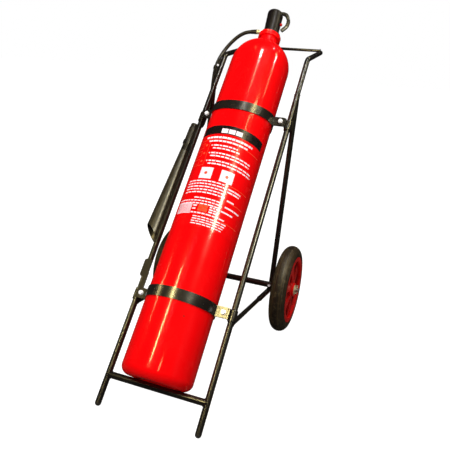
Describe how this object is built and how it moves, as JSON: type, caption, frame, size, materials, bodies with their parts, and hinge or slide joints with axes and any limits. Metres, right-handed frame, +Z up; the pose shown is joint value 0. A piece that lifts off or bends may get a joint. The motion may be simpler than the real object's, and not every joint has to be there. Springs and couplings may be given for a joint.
{
  "type": "wheeled fire extinguisher",
  "caption": "Tall steel gas cylinder strapped to a leaning two-wheeled tube trolley with a push handle, lever valve, rubber hose and clipped discharge horn.",
  "frame": {"origin": "on the floor, at the middle of the width and of the depth from the feet to the handle's ends", "axes": "+X to the right seen from the front, +Y backwards from the feet to the handle, +Z up; the trolley stands leaning back on its feet and tyres"},
  "size_m": [0.5528, 1.2105, 1.1289],
  "materials": {
    "cylinder_red": "glossy red enamel with soft vertical highlights",
    "cap_red": "red cap",
    "wheel_red": "moulded red plastic, slightly dusty",
    "label_print": null,
    "frame_black": "glossy black enamel on steel tube",
    "strap_black": "satin black paint on steel strip",
    "shroud_black": "satin black moulded shroud",
    "lever_black": "black painted lever",
    "grip_black": "black plastic, worn satin",
    "horn_black": "black moulded horn",
    "plug_black": "black plastic plug",
    "hose_rubber": "smooth black rubber hose",
    "seal_rubber": "nitrile seal",
    "tyre": "black rubber, dusty, fine ribs round the tread",
    "brass": "turned brass",
    "zinc": "bright zinc plate",
    "yellow_zinc": "yellow zinc plate",
    "steel": "bright steel",
    "aluminium": "drawn tube",
    "bush_nylon": "natural nylon"
  },
  "bodies": {
    "trolley": {"cylinder_shell": "cylinder_red", "neck_ring": "cylinder_red", "label_film": "label_print", "dip_tube": "aluminium", "valve_body": "brass", "flange_ring": "shroud_black", "valve_shroud": "shroud_black", "burst_disc_cap": "cap_red", "lever_pivot_pin": "zinc", "outlet_nut": "zinc", "hose_ferrule_top": "brass", "discharge_hose": "hose_rubber", "grip_elbow": "grip_black", "horn_clip": "frame_black", "horn_rest": "frame_black", "hose_bracket": "frame_black", "hose_clip": "strap_black", "clip_bolt": "zinc", "handle_bar": "frame_black", "handle_plugs": "plug_black", "lower_crossbar": "frame_black", "foot_plugs": "plug_black", "upper_saddle": "strap_black", "lower_saddle": "strap_black", "upper_strap": "strap_black", "lower_strap": "strap_black", "strap_bolts": "zinc", "strap_washers": "zinc", "strap_nuts": "zinc", "axle_tube": "frame_black", "axle": "steel", "axle_bolt_bosses": "frame_black", "axle_lock_bolts": "zinc", "hub_washers": "yellow_zinc", "split_pins": "steel", "side_tube_left": "frame_black", "rear_stay_left": "frame_black", "strut_left": "frame_black", "side_tube_right": "frame_black", "rear_stay_right": "frame_black", "strut_right": "frame_black"},
    "wheel_left": {"tyre_left": "tyre", "wheel_centre_left": "wheel_red", "wheel_bushes_left": "bush_nylon"},
    "wheel_right": {"tyre_right": "tyre", "wheel_centre_right": "wheel_red", "wheel_bushes_right": "bush_nylon"},
    "operating_lever": {"operating_lever": "lever_black"},
    "safety_pin": {"safety_pin": "zinc", "pin_ring": "zinc"},
    "valve_stem": {"valve_stem": "steel", "valve_seal": "seal_rubber", "stem_spring": "steel"},
    "horn": {"horn_grip": "grip_black", "horn_collar": "grip_black", "horn": "horn_black"}
  },
  "joints": [
    {"name": "wheel_left_spin", "type": "hinge", "parent": "trolley", "child": "wheel_left", "pos_m": [-0.229, 0.0622, 0.16], "axis": [1, 0, 0], "continuous": true},
    {"name": "wheel_right_spin", "type": "hinge", "parent": "trolley", "child": "wheel_right", "pos_m": [0.229, 0.0622, 0.16], "axis": [1, 0, 0], "continuous": true},
    {"name": "lever_swing", "type": "hinge", "parent": "trolley", "child": "operating_lever", "pos_m": [0, 0.47995, 1.09953], "axis": [0, -0.7019, 0.7123], "range_deg": [0, 65]},
    {"name": "stem_press", "type": "slide", "parent": "trolley", "child": "valve_stem", "axis": [0, -0.7123, -0.7019], "range_m": [0, 0.004]},
    {"name": "safety_pin_pull", "type": "slide", "parent": "trolley", "child": "safety_pin", "axis": [0, 0.7019, -0.7123], "range_m": [0, 0.04]},
    {"name": "horn_swivel", "type": "hinge", "parent": "trolley", "child": "horn", "pos_m": [-0.194, 0.1497, 0.71233], "axis": [-0.0201, -0.7121, -0.7018], "range_deg": [-90, 90]}
  ],
  "couplings": [
    {"joint": "stem_press", "follows": "lever_swing", "m_per_rad": 0.0035}
  ]
}
